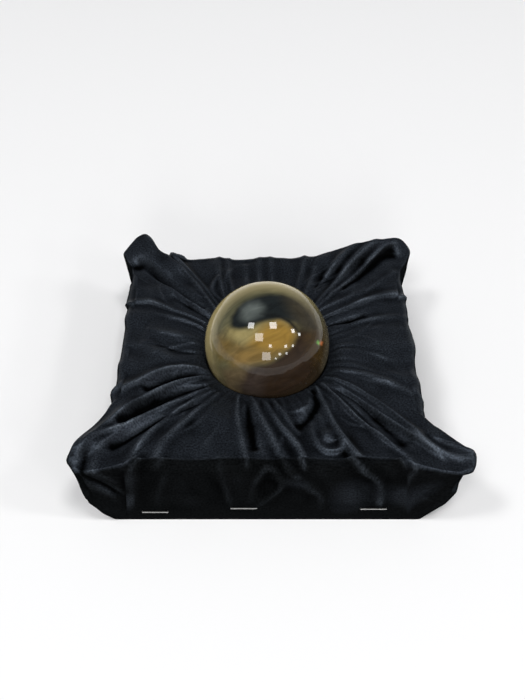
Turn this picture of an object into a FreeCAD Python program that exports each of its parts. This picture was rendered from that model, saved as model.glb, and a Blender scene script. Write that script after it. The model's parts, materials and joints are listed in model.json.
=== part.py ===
"""A polished glass ball resting in a gathered black satin cover, on a square stapled display box."""

import FreeCAD, Part
import math
import os
import Sketcher

from FreeCAD import Placement, Rotation, Vector

doc = FreeCAD.newDocument("display_ball")

# Driving dimensions, in millimetres unless the name says degrees
SIZES = {
    "box_side": 150.0,            # outside of the side boards
    "box_height": 35.0,           # side boards and top board together
    "board_thick": 2.0,
    "ball_diameter": 63.5,
    "seat_less": 1.5,             # the hole in the top board that carries the ball is this much narrower
    "pad_thick": 6.5,             # soft foam sheet under the satin
    "pad_more": 9.5,              # its hole is this much wider than the ball
    "pad_hole_round": 5.5,
    "pad_edge_round": 4.5,
    "satin_thick": 0.6,
    "cloth_gap": 0.15,            # satin to boards and foam
    "ball_gap": 0.3,              # satin to ball
    "lip_drop": 6.9,              # the satin leaves the ball this far below its middle
    "lip_reach": 9.5,             # from there out to the flat top
    "edge_bevel": 2.2,            # how the satin turns over the box edge
    "hem_depth": 12.0,            # satin turned up inside the box
    "stitch_line": 14.0,          # the satin lies flat against the box below this height
    "tape_leg": 14.0,
    "tape_thick": 0.4,
    "tape_gap": 1.0,              # corner tape to hem
    "staple_crown": 12.8,
    "staple_wire": 0.5,
    "staple_band": 0.7,
    "staple_clinch": 3.4,
    "staple_height": 8.5,
    "staple_margin": 21.0,        # from a box corner to the middle of the nearest staple
    "staple_slack": 0.05,         # around each leg in its slot
    "lift_ring_mid": 14.5,        # from the lip to the middle ring of the folds
}

sheet = doc.addObject("Spreadsheet::Sheet", "Sizes")
for row, (name, value) in enumerate(SIZES.items(), start=1):
    sheet.set(f"A{row}", name.replace("_", " "))
    sheet.set(f"B{row}", str(value))
    sheet.setAlias(f"B{row}", name)
doc.recompute()


def size(name):
    """The number that the sheet holds under this alias."""
    return float(sheet.get(name))


def bind(obj, prop, expression):
    """Ties a property to the sheet: each alias in the expression is written as a bare word."""
    words = sorted(SIZES, key=len, reverse=True)
    out, rest = "", expression
    while rest:
        hit = next((w for w in words if rest.startswith(w)), None)
        out += f"Sizes.{hit}" if hit else rest[0]
        rest = rest[len(hit):] if hit else rest[1:]
    obj.setExpression(prop, out)


# Heights and faces that several pieces share
under_z = size("satin_thick")                                  # boards stand on the turned-in satin
board_top = under_z + size("box_height")
pad_top = board_top + size("pad_thick")
satin_top = pad_top + size("cloth_gap") + size("satin_thick")
satin_half = size("box_side") / 2 + size("cloth_gap") + size("satin_thick")
hem_half = size("box_side") / 2 - size("board_thick") - size("cloth_gap") - size("satin_thick")
ball_radius = size("ball_diameter") / 2
seat_hole = size("ball_diameter") - size("seat_less")
pad_hole = size("ball_diameter") + size("pad_more")
cup_inside = ball_radius + size("ball_gap")
cup_outside = cup_inside + size("satin_thick")
ball_z = board_top + math.sqrt((cup_outside + size("cloth_gap")) ** 2 - (seat_hole / 2) ** 2)
lip_z = ball_z - size("lip_drop")
lip_radius = math.sqrt(cup_inside ** 2 - size("lip_drop") ** 2)
wall_depth = size("satin_thick") * 2 + size("cloth_gap") * 2 + size("board_thick")

parts = []                                                     # every sub-part that is written out


def keep(obj, label):
    """Names a finished sub-part."""
    obj.Label = label
    parts.append(obj)
    return obj


def new_body(name):
    return doc.addObject("PartDesign::Body", name)


def new_sketch(body, name, role):
    """An empty sketch on one of the body's own origin planes."""
    sketch = body.newObject("Sketcher::SketchObject", name)
    plane = next(f for f in body.Origin.OriginFeatures if f.Role == role)
    sketch.AttachmentSupport = [(plane, "")]
    sketch.MapMode = "FlatFace"
    return sketch


def level_outline(sketch, corners):
    """Closed outline of level and upright lines. A corner is (x, y), each as (length, expression)."""
    first = sketch.GeometryCount
    for i, ((x, _), (y, _)) in enumerate(corners):
        (nx, _), (ny, _) = corners[(i + 1) % len(corners)]
        sketch.addGeometry(Part.LineSegment(Vector(x, y), Vector(nx, ny)))
    for i, (x, y) in enumerate(corners):
        line, after = first + i, first + (i + 1) % len(corners)
        sketch.addConstraint(Sketcher.Constraint("Coincident", line, 2, after, 1))
        upright = abs(x[0] - corners[(i + 1) % len(corners)][0][0]) < 1e-9
        sketch.addConstraint(Sketcher.Constraint("Vertical" if upright else "Horizontal", line))
        (length, expression), axis = (x, -2) if upright else (y, -1)
        if abs(length) < 1e-9:
            sketch.addConstraint(Sketcher.Constraint("PointOnObject", line, 1, axis))
            continue
        ends = (-1, 1, line, 1) if length > 0 else (line, 1, -1, 1)
        kind = "DistanceX" if upright else "DistanceY"
        number = sketch.addConstraint(Sketcher.Constraint(kind, *ends, abs(length)))
        bind(sketch, f"Constraints[{number}]", expression)


def centred_square(sketch, side, expression):
    low, high = (-side / 2, expression + " / 2"), (side / 2, expression + " / 2")
    level_outline(sketch, [(low, low), (high, low), (high, high), (low, high)])


def centred_circle(sketch, diameter, expression):
    circle = sketch.addGeometry(Part.Circle(Vector(0, 0), Vector(0, 0, 1), diameter / 2))
    sketch.addConstraint(Sketcher.Constraint("Coincident", circle, 3, -1, 1))
    wide = sketch.addConstraint(Sketcher.Constraint("Diameter", circle, diameter))
    bind(sketch, f"Constraints[{wide}]", expression)


def pad_up(body, sketch, name, expression):
    """A pad from the sketch towards +Z, its height tied to the sheet."""
    pad = body.newObject("PartDesign::Pad", name)
    pad.Profile = sketch
    bind(pad, "Length", expression)
    return pad


def make_ball():
    """The glass ball, in its seat."""
    ball = doc.addObject("Part::Sphere", "ball")
    bind(ball, "Radius", "ball_diameter / 2")
    ball.Placement.Base = Vector(0, 0, ball_z)
    return keep(ball, "ball")


def make_top_board():
    """Square board with the round hole whose edge carries the ball through the satin."""
    body = new_body("top_board")
    plate = new_sketch(body, "top_board_outline", "XY_Plane")
    centred_square(plate, size("box_side"), "box_side")
    centred_circle(plate, seat_hole, "ball_diameter - seat_less")
    pad_up(body, plate, "top_board_pad", "board_thick")
    body.Placement.Base = Vector(0, 0, board_top - size("board_thick"))
    return keep(body, "top_board")


def make_foam_pad():
    """Soft sheet on the top board, rounded where the satin turns over it."""
    body = new_body("foam_pad")
    plate = new_sketch(body, "foam_pad_outline", "XY_Plane")
    centred_square(plate, size("box_side"), "box_side")
    centred_circle(plate, pad_hole, "ball_diameter + pad_more")
    pad = pad_up(body, plate, "foam_pad_block", "pad_thick")
    doc.recompute()
    top = size("pad_thick")
    edges = {"hole": [], "outer": []}
    for number, edge in enumerate(pad.Shape.Edges, start=1):
        if all(abs(v.Z - top) < 1e-6 for v in edge.Vertexes):
            kind = "hole" if edge.Curve.TypeId == "Part::GeomCircle" else "outer"
            edges[kind].append(f"Edge{number}")
    outer = body.newObject("PartDesign::Fillet", "foam_pad_outer_round")
    outer.Base = (pad, edges["outer"])
    bind(outer, "Radius", "pad_edge_round")
    doc.recompute()
    rim = [
        f"Edge{number}" for number, edge in enumerate(outer.Shape.Edges, start=1)
        if edge.Curve.TypeId == "Part::GeomCircle" and abs(edge.Curve.Radius - pad_hole / 2) < 1e-6
        and abs(edge.Curve.Center.z - top) < 1e-6
    ]
    hole = body.newObject("PartDesign::Fillet", "foam_pad_hole_round")
    hole.Base = (outer, rim)
    bind(hole, "Radius", "pad_hole_round")
    body.Placement.Base = Vector(0, 0, board_top)
    return keep(body, "foam_pad")


# Each staple: side of the box, sideways place by the margin or the middle, and how far it sits off the
# common height
STAPLES = {
    "front": (("left", 0.0, -1.5), ("middle", -11.3, 1.5), ("right", -3.0, 1.0)),
    "right": (("left", 2.0, 0.5), ("middle", 4.0, -0.5), ("right", 1.0, 1.0)),
    "back": (("left", -2.0, 1.0), ("middle", 6.0, 0.0), ("right", 3.0, -1.0)),
    "left": (("left", 1.0, 0.0), ("middle", -5.0, 1.0), ("right", 2.0, 0.5)),
}
SIDES = ("front", "right", "back", "left")      # each a quarter turn on from the one before


def quarter_turns(count):
    return Rotation(Vector(0, 0, 1), 90 * count)


def staple_places():
    """(name, placement) of each staple, on the outside of the satin. A side is seen from outside it."""
    for side, row in STAPLES.items():
        turn = quarter_turns(SIDES.index(side))
        for where, shift, lift in row:
            end = size("box_side") / 2 - size("staple_margin")
            along = {"left": -end, "middle": 0.0, "right": end}[where] + shift
            base = turn.multVec(Vector(along, -satin_half, size("staple_height") + lift))
            yield f"staple_{side}_{where}", Placement(base, turn)


def staple_outline():
    """The bent wire from above: crown outside, legs through the wall, tips clinched inside."""
    half, wire, tip = size("staple_crown") / 2, size("staple_wire"), size("staple_clinch")
    wall = "(satin_thick * 2 + cloth_gap * 2 + board_thick)"
    outer = (half, "staple_crown / 2")
    inner = (half - wire, "staple_crown / 2 - staple_wire")
    end = (half - tip, "staple_crown / 2 - staple_clinch")
    face, deep = (0.0, "0 mm"), (wall_depth, wall)
    back, front = (wall_depth + wire, wall + " + staple_wire"), (-wire, "staple_wire")
    right = [(inner, face), (inner, deep), (end, deep), (end, back), (outer, back), (outer, front)]
    return right + [((-x, word), y) for (x, word), y in reversed(right)]


def make_staple(name, place):
    """One flat-wire staple with bent corners."""
    body = new_body(name)
    sketch = new_sketch(body, name + "_wire", "XY_Plane")
    level_outline(sketch, staple_outline())
    pad = pad_up(body, sketch, name + "_band", "staple_band")
    pad.Midplane = True
    doc.recompute()
    half, wire = size("staple_crown") / 2, size("staple_wire")
    bends = []
    for number, edge in enumerate(pad.Shape.Edges, start=1):
        upright = abs(edge.Vertexes[0].Z - edge.Vertexes[-1].Z) > wire / 2
        x, y = edge.Vertexes[0].X, edge.Vertexes[0].Y
        at_bend = min(abs(y + wire), abs(y - wall_depth - wire)) < 1e-6
        if upright and abs(abs(x) - half) < 1e-6 and at_bend:
            bends.append(f"Edge{number}")
    bend = body.newObject("PartDesign::Fillet", name + "_bends")
    bend.Base = (pad, bends)
    bind(bend, "Radius", "staple_wire * 0.8")
    body.Placement = place
    return keep(body, name)


def leg_slots():
    """Every slot that the staples' legs pass through, as one shape."""
    half, wire, slack = size("staple_crown") / 2, size("staple_wire"), size("staple_slack")
    wide, high = wire + 2 * slack, size("staple_band") + 2 * slack
    slots = []
    for name, place in staple_places():
        for x in (-half - slack, half - wire - slack):
            slot = Part.makeBox(wide, wall_depth, high, Vector(x, 0, -high / 2))
            slot.Placement = place.multiply(slot.Placement)
            slots.append(slot)
    return Part.makeCompound(slots)


def make_side_boards(slots):
    """Front and back boards run the full width; the left and right ones stand between them."""
    for count, name in enumerate(SIDES):
        full = name in ("front", "back")
        blank = doc.addObject("Part::Box", name + "_board_blank")
        bind(blank, "Length", "box_side" if full else "box_side - 2 * board_thick")
        bind(blank, "Width", "board_thick")
        bind(blank, "Height", "box_height - board_thick")
        doc.recompute()
        spin = quarter_turns(count)
        corner = Vector(-blank.Length.Value / 2, -size("box_side") / 2, under_z)
        blank.Placement = Placement(spin.multVec(corner), spin)
        board = doc.addObject("Part::Cut", name + "_board")
        board.Base = blank
        board.Tool = slots
        keep(board, name + "_board")


def make_corner_tapes():
    """Paper tape folded into each inside corner, above the hem, that holds the side boards together."""
    inner = size("box_side") / 2 - size("board_thick")
    low = under_z + size("hem_depth") + size("tape_gap")
    here, leg, thick = (0.0, "0 mm"), size("tape_leg"), size("tape_thick")
    far_x, near_x = (-leg, "tape_leg"), (-thick, "tape_thick")
    far_y, near_y = (leg, "tape_leg"), (thick, "tape_thick")
    outline = [(here, here), (far_x, here), (far_x, near_y), (near_x, near_y), (near_x, far_y), (here, far_y)]
    for count, name in enumerate(("front_right", "back_right", "back_left", "front_left")):
        body = new_body("corner_tape_" + name)
        sketch = new_sketch(body, f"corner_tape_{name}_fold", "XY_Plane")
        level_outline(sketch, outline)
        pad_up(body, sketch, f"corner_tape_{name}_strip", "box_height - board_thick - hem_depth - tape_gap")
        spin = quarter_turns(count)
        body.Placement = Placement(spin.multVec(Vector(inner, -inner, low)), spin)
        keep(body, "corner_tape_" + name)


# The satin's folds, going round from the right-hand side of the box. Each runs from the ball to the box edge:
# where it leaves the ball and where it meets the edge (degrees), half its width at the lip, middle and edge,
# its height at the same three places, and how far it stands off the side of the box.
# An ear is the spare cloth at a corner. Going round, it leaves one side at the first neck and meets the next
# at the second (distances from the corner), and its rim has five points: out past the corner from the first
# side, out from the second, and up from the flat top. Stand is how far it still reaches out at each ring below.
FOLDS = (
    dict(name="right_swell", at=(4, 4), wide=(1.8, 6.0, 11.0), high=(0.4, 1.2, 1.0), side=0.8),
    dict(name="right_upper", at=(29, 27), wide=(1.6, 4.0, 5.0), high=(0.8, 2.0, 1.8), side=1.2),
    dict(name="back_right_ear", at=(53, 50), wide=(2.6, 8.0), high=(1.8, 4.4), ear=dict(
        necks=(17.5, 47.0), stand=(1.0, 0.77, 0.55, 0.0), mouth=2,
        rim=((4.0, -4.2, -0.3), (7.1, 5.2, 0.0), (2.4, 11.2, 3.9), (-9.3, 7.0, 5.8), (-26.0, 4.6, 5.2)))),
    dict(name="back_middle", at=(90, 89), wide=(1.8, 3.5, 6.0), high=(0.4, 0.9, 0.8), side=0.9),
    dict(name="back_left_pleat", at=(106, 104), wide=(1.6, 3.0, 4.0), high=(0.6, 1.2, 1.0), side=1.0),
    dict(name="back_left_ear", at=(131, 133), wide=(2.8, 8.0), high=(1.8, 3.6), ear=dict(
        necks=(18.8, 15.8), stand=(1.0, 0.76, 0.54, 0.0), mouth=3,
        rim=((4.6, -11.8, 1.1), (12.6, -7.8, 2.7), (16.4, -4.2, 3.6), (11.4, 2.3, 1.9), (4.4, 6.6, -0.8)))),
    dict(name="left_upper", at=(152, 154), wide=(1.6, 4.0, 6.0), high=(0.9, 2.2, 1.8), side=1.4),
    dict(name="left_swell", at=(178, 176), wide=(2.2, 6.0, 9.0), high=(0.5, 1.6, 1.2), side=1.2),
    dict(name="left_lower", at=(201, 198), wide=(1.4, 3.5, 4.5), high=(0.9, 2.4, 1.8), side=1.4),
    dict(name="front_left_ear", at=(217, 219), wide=(2.6, 7.0), high=(1.6, 3.4), ear=dict(
        necks=(37.8, 11.0), stand=(1.0, 0.8, 0.7, 0.0), mouth=None,
        rim=((12.6, -12.5, 0.9), (16.7, -4.6, -0.1), (13.7, 0.6, -1.8), (8.2, 3.6, -0.9), (-0.2, 2.1, -0.3)))),
    dict(name="front_left_pleat", at=(232, 238), wide=(1.5, 3.5, 4.5), high=(0.9, 2.2, 1.4), side=1.0),
    dict(name="front_pleat_one", at=(247, 259), wide=(1.4, 3.0, 3.6), high=(0.8, 1.6, 1.4), side=1.2),
    dict(name="front_pleat_two", at=(260, 275), wide=(1.4, 3.2, 4.2), high=(0.9, 2.0, 1.8), side=1.8),
    dict(name="front_pleat_three", at=(276, 289), wide=(1.4, 3.2, 4.0), high=(0.8, 2.0, 1.8), side=1.8),
    dict(name="front_right_pleat", at=(311, 302), wide=(1.5, 3.4, 4.0), high=(1.0, 2.4, 2.0), side=1.4),
    dict(name="front_right_ear", at=(328, 323), wide=(2.4, 7.0), high=(1.4, 2.8), ear=dict(
        necks=(10.8, 28.8), stand=(1.0, 0.77, 0.53, 0.0), mouth=3,
        rim=((2.5, 3.2, 0.0), (3.8, 12.8, -1.2), (-0.2, 19.0, -1.2), (-6.5, 20.6, -0.1), (-8.5, 17.8, 1.1)))),
    dict(name="right_lower", at=(346, 344), wide=(1.6, 4.0, 6.0), high=(0.6, 1.4, 1.2), side=1.0),
)
RIM_LIFT = (1.0, 0.5, 0.2, 0.0)             # the share of its rim's heights that an ear keeps at each ring
NECK_SHARE = (1.0, 0.6, 0.28, 0.27)         # and how wide it still is there
EAR_MOUTH = 4.2                             # radius of the opening at the end of an ear


def ring_radius(path, reach, angle):
    """Distance from the middle to a ring of that reach: a circle, a square, or halfway between."""
    square = reach / max(abs(math.cos(angle)), abs(math.sin(angle)))
    return {"round": reach, "between": (reach + square) / 2, "square": square}[path]


def rings():
    """The satin's rings from the ball to the box's foot: path, reach, height, share of the way out, level."""
    bevel = size("edge_bevel")
    mid = lip_radius + size("lip_reach")
    far = mid + size("lift_ring_mid")
    return (
        dict(path="round", reach=lip_radius, z=lip_z, out=0.0, level="ball", inset=(-1.0, -0.55)),
        dict(path="round", reach=(lip_radius + mid) / 2 - 0.6, z=(lip_z + satin_top) / 2 + 0.35,
         out=0.1, level="lip", inset=(0.0, -1.0)),
        dict(path="round", reach=mid, z=satin_top, out=0.22, level="lip", inset=(0.0, -1.0)),
        dict(path="between", reach=far, z=satin_top, out=0.6, level="middle", inset=(0.0, -1.0)),
        dict(path="square", reach=satin_half - bevel, z=satin_top, out=1.0, level="edge",
         inset=(0.414, -1.0)),
        dict(path="square", reach=satin_half, z=satin_top - bevel, out=1.0, level="side", step=0,
         inset=(1.0, -0.414)),
        dict(path="square", reach=satin_half, z=(satin_top + size("stitch_line")) / 2 - 3, out=1.0,
         level="side", step=1, inset=(1.0, 0.0)),
        dict(path="square", reach=satin_half, z=size("stitch_line"), out=1.0, level="side", step=2,
         inset=(1.0, 0.0)),
        dict(path="square", reach=satin_half, z=0.0, out=1.0, level="side", step=3,
         inset=(1.0, 0.0)),
    )


SIDE_SHARE = (0.9, 1.0, 0.0, 0.0)           # how far a plain fold stands off the side at each ring


def on_ring(ring, degrees, off=0.0, lift=0.0):
    """A point of a ring at a polar angle, moved outwards by off and up by lift."""
    angle = math.radians(degrees)
    radius = ring_radius(ring["path"], ring["reach"], angle)
    x, y = radius * math.cos(angle), radius * math.sin(angle)
    if ring["path"] == "square" and abs(x) >= abs(y):
        x += math.copysign(off, x)
    elif ring["path"] == "square":
        y += math.copysign(off, y)
    return Vector(x, y, ring["z"] + lift)


def plain_fold(ring, fold):
    """(foot, crest, foot) of a plain fold on one ring."""
    level = {"ball": 0, "lip": 0, "middle": 1, "edge": 2, "side": 2}[ring["level"]]
    angle = fold["at"][0] + (fold["at"][1] - fold["at"][0]) * ring["out"]
    spread = math.degrees(fold["wide"][level] / ring_radius(ring["path"], ring["reach"], math.radians(angle)))
    lift = 0.0 if ring["level"] in ("ball", "side") else fold["high"][level]
    off = fold["side"] * SIDE_SHARE[ring["step"]] if ring["level"] == "side" else 0.0
    return [on_ring(ring, angle - spread), on_ring(ring, angle, off, lift), on_ring(ring, angle + spread)]


def ear_fold(ring, fold):
    """(neck, five points of the rim, neck) of a corner ear on one ring."""
    ear = fold["ear"]
    middle = fold["at"][0] + (fold["at"][1] - fold["at"][0]) * ring["out"]
    if ring["path"] != "square":
        level = 1 if ring["level"] == "middle" else 0
        radius = ring_radius(ring["path"], ring["reach"], math.radians(middle))
        spread = math.degrees(fold["wide"][level] / radius)
        lift = 0.0 if ring["level"] == "ball" else fold["high"][level]
        return [
            on_ring(ring, middle + spread * share, 0.0, lift * high)
            for share, high in (
                (-1, 0), (-0.66, 0.5), (-0.33, 0.85), (0, 1), (0.33, 0.85), (0.66, 0.5), (1, 0))
        ]
    turn = quarter_turns(round((middle - 45) / 90))
    reach, close = ring["reach"], size("satin_thick") + 2 * size("cloth_gap")
    bend = close * (1 - math.sqrt(0.5))
    shut = [(0, -2 * close), (0, -close), (-bend, -bend), (-close, 0), (-2 * close, 0)]
    step = ring.get("step", 0)
    stand, neck = ear["stand"][step], NECK_SHARE[step]
    points = [(0, -ear["necks"][0] * neck, 0)]
    for (sx, sy), (x, y, z) in zip(shut, ear["rim"]):
        share_x, share_y = (stand if v > 0 else min(stand, neck) for v in (x, y))
        points.append((sx + (x - sx) * share_x, sy + (y - sy) * share_y, z * RIM_LIFT[step]))
    points.append((-ear["necks"][1] * neck, 0, 0))
    return [turn.multVec(Vector(reach + x, reach + y, z)) + Vector(0, 0, ring["z"]) for x, y, z in points]


def ring_points(ring):
    """Each fold's points on a ring, and the middle of the flat stretch after it."""
    folds = [ear_fold(ring, f) if "ear" in f else plain_fold(ring, f) for f in FOLDS]
    flats = []
    for i, points in enumerate(folds):
        a, b = points[-1], folds[(i + 1) % len(folds)][0]
        if ring["path"] == "square":
            flats.append((a + b) / 2)
            continue
        start, end = math.atan2(a.y, a.x), math.atan2(b.y, b.x)
        end += 2 * math.pi if end < start - 1e-9 else 0
        flats.append(on_ring(ring, math.degrees((start + end) / 2)))
    return folds, flats


def inset_points(ring, folds, flats):
    """The same ring on the underside of the satin: inwards and down by its thickness."""
    sideways, down = (v * size("satin_thick") for v in ring["inset"])
    loop = [p for fold, flat in zip(folds, flats) for p in (*fold, flat)]
    moved = []
    for i, p in enumerate(loop):
        before, after = loop[i - 1], loop[(i + 1) % len(loop)]
        a, b = Vector(p.x - before.x, p.y - before.y), Vector(after.x - p.x, after.y - p.y)
        a.normalize()
        b.normalize()
        way = a + b
        out = Vector(way.y, -way.x)
        out.normalize()
        miter = 1 / max(0.62, math.sqrt((1 + a.dot(b)) / 2))
        moved.append(p - out * sideways * miter + Vector(0, 0, down))
    it = iter(moved)
    return [[next(it) for _ in fold] + [next(it)] for fold in folds]


def edges_of(groups):
    """Arcs and lines through a ring's points: fold, then the flat stretch to the next fold."""
    edges = []
    for i, group in enumerate(groups):
        fold, flat, following = group[:-1], group[-1], groups[(i + 1) % len(groups)][0]
        runs = [fold] if len(fold) == 3 else [fold[:2], fold[1:4], fold[3:6], fold[5:]]
        runs.append([fold[-1], flat, following])
        for run in runs:
            straight = len(run) == 2 or (run[1] - run[0]).cross(run[2] - run[0]).Length < 1e-4
            curve = Part.LineSegment(run[0], run[-1]) if straight else Part.Arc(*run)
            edges.append(curve.toShape())
    return edges


def satin_skin():
    """The cover's one layer of satin as a closed shell: top side, underside and the edges between them."""
    above, below = [], []
    for ring in rings():
        folds, flats = ring_points(ring)
        above.append(edges_of([[*fold, flat] for fold, flat in zip(folds, flats)]))
        below.append(edges_of(inset_points(ring, folds, flats)))
    bands = list(zip(above, above[1:])) + list(zip(below, below[1:]))
    bands += [(above[0], below[0]), (above[-1], below[-1])]
    faces = [Part.makeRuledSurface(a, b) for first, second in bands for a, b in zip(first, second)]
    shell = Part.makeShell(faces)
    shell.sewShape()
    solid = Part.makeSolid(shell)
    if solid.Volume < 0:
        solid.reverse()
    return solid


def satin_cup():
    """The satin under the ball: a shell of even thickness below the lip."""
    outer = Part.makeSphere(cup_outside, Vector(0, 0, ball_z))
    inner = Part.makeSphere(cup_inside, Vector(0, 0, ball_z))
    deep = Part.makeBox(4 * ball_radius, 4 * ball_radius, 2 * ball_radius,
                        Vector(-2 * ball_radius, -2 * ball_radius, lip_z - 2 * ball_radius - 0.12))
    return outer.cut(inner).common(deep)


def satin_hem():
    """The satin turned in under the boards and up their inner faces."""
    thick, outer, inner = size("satin_thick"), satin_half - 0.1, hem_half
    under = Part.makeBox(2 * outer, 2 * outer, thick, Vector(-outer, -outer, 0))
    wall = inner + thick
    rise = Part.makeBox(2 * wall, 2 * wall, under_z + size("hem_depth"), Vector(-wall, -wall, 0))
    opening = Part.makeBox(2 * inner, 2 * inner, 3 * size("hem_depth"), Vector(-inner, -inner, -thick))
    return under.fuse(rise).cut(opening)


def ear_mouths():
    """A round opening at the end of each ear whose folded satin stands open."""
    ring, mouths = rings()[5], []
    for fold in FOLDS:
        if "ear" not in fold or fold["ear"]["mouth"] is None:
            continue
        tip = ear_fold(ring, fold)[fold["ear"]["mouth"]]
        out = Vector(tip.x, tip.y, 0).normalize()
        low = tip - out * 6 - Vector(0, 0, EAR_MOUTH + 2)
        mouths.append(Part.makeCylinder(EAR_MOUTH, 9.0, low, out))
    return Part.makeCompound(mouths)


def make_satin_cover(slots):
    skin = doc.addObject("Part::Feature", "satin_skin")
    skin.Shape = satin_skin()
    cup = doc.addObject("Part::Feature", "satin_cup")
    cup.Shape = satin_cup()
    hem = doc.addObject("Part::Feature", "satin_hem")
    hem.Shape = satin_hem()
    whole = doc.addObject("Part::MultiFuse", "satin_whole")
    whole.Shapes = [skin, cup, hem]
    mouths = doc.addObject("Part::Feature", "ear_mouths")
    mouths.Shape = ear_mouths()
    opened = doc.addObject("Part::Cut", "satin_opened")
    opened.Base = whole
    opened.Tool = mouths
    cover = doc.addObject("Part::Cut", "satin_cover")
    cover.Base = opened
    cover.Tool = slots
    return keep(cover, "satin_cover")


slots = doc.addObject("Part::Feature", "leg_slots")
slots.Shape = leg_slots()
make_ball()
make_top_board()
make_foam_pad()
make_side_boards(slots)
make_corner_tapes()
make_satin_cover(slots)
for name, place in staple_places():
    make_staple(name, place)
doc.recompute()

os.makedirs("parts", exist_ok=True)
for obj in doc.Objects:
    if {"Invalid", "Error"} & set(obj.State):
        raise RuntimeError(f"{obj.Label} failed: {obj.State}")
for obj in parts:
    shape = obj.Shape
    if shape.isNull() or not shape.isValid() or not shape.Solids:
        raise RuntimeError(f"{obj.Label} has no valid solid")
    print(obj.Label, len(shape.Solids), "solid,", round(shape.Volume, 1), "mm3")
    shape.exportStep(f"parts/{obj.Label}.step")
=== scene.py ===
import bpy
import json
import math
import numpy as np
from mathutils import Matrix, Vector
from mathutils.bvhtree import BVHTree

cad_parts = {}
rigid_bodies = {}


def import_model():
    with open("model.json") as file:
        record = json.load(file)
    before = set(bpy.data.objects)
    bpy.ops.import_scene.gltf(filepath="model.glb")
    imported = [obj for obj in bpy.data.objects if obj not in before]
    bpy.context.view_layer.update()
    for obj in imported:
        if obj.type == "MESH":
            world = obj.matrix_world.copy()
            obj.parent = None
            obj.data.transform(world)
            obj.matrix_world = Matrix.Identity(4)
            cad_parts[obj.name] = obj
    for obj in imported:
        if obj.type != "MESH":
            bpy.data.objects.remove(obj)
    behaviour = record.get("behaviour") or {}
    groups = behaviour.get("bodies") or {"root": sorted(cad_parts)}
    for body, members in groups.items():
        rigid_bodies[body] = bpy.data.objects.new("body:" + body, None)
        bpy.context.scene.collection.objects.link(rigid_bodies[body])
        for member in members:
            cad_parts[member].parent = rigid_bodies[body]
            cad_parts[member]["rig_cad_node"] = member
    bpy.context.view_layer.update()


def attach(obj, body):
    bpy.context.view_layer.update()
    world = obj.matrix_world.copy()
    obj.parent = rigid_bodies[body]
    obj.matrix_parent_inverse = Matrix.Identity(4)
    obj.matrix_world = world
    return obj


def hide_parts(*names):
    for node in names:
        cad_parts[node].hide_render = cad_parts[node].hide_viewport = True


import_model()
scene = bpy.context.scene

# Sizes below are in millimetres, and become metres when a mesh is made
mm = 0.001

ballSizes = {"radius": 31.75, "middleHeight": 46.3, "segments": 320, "rings": 160}

satinSizes = {
    "boxHalf": 75.45,        # middle of the cloth on the sides
    "hemHalf": 71.9,         # and on the turned-up hem inside
    "hemTop": 12.3,
    "topHeight": 43.0,
    "lipRadius": 31.75,      # where the cloth leaves the ball
    "lipHeight": 39.6,
    "lipReach": 9.5,
    "lipSteep": 1.35,        # above 1 the cloth turns down sooner
    "cupRadius": 32.25,
    "edgeRound": 4.6,
    "earRound": 2.2,
    "edgeDip": 0.7,          # how far the edge sags between the corners
    "innerShare": 0.965,     # the ears start this far out on the top
    "footRound": 2.0,
    "boardGive": 0.25,       # how far a fold can sink where a board is behind it
    "sideColumns": 92,
    "earColumns": 56,
    "topRows": 74,
    "roundRows": 8,
    "wallRows": 34,
    "hemRows": 6,
    "cupRows": 12,
    "foldTall": 1.2,
    "foldWide": 0.9,
    "valleyWide": 1.15,
    "crestSharp": 1.3,       # 2 is a round crest, 1 a knife edge
    "creases": 90,
}

# The foam takes the lowest cloth found above each place and this far around it, its "feel"
foamSizes = {"half": 75.0, "low": 35.6, "top": 42.1, "edgeRound": 4.5, "hole": 36.5, "holeRound": 5.5,
             "underSatin": 0.75, "feel": 1.8, "columns": 256}

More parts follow.
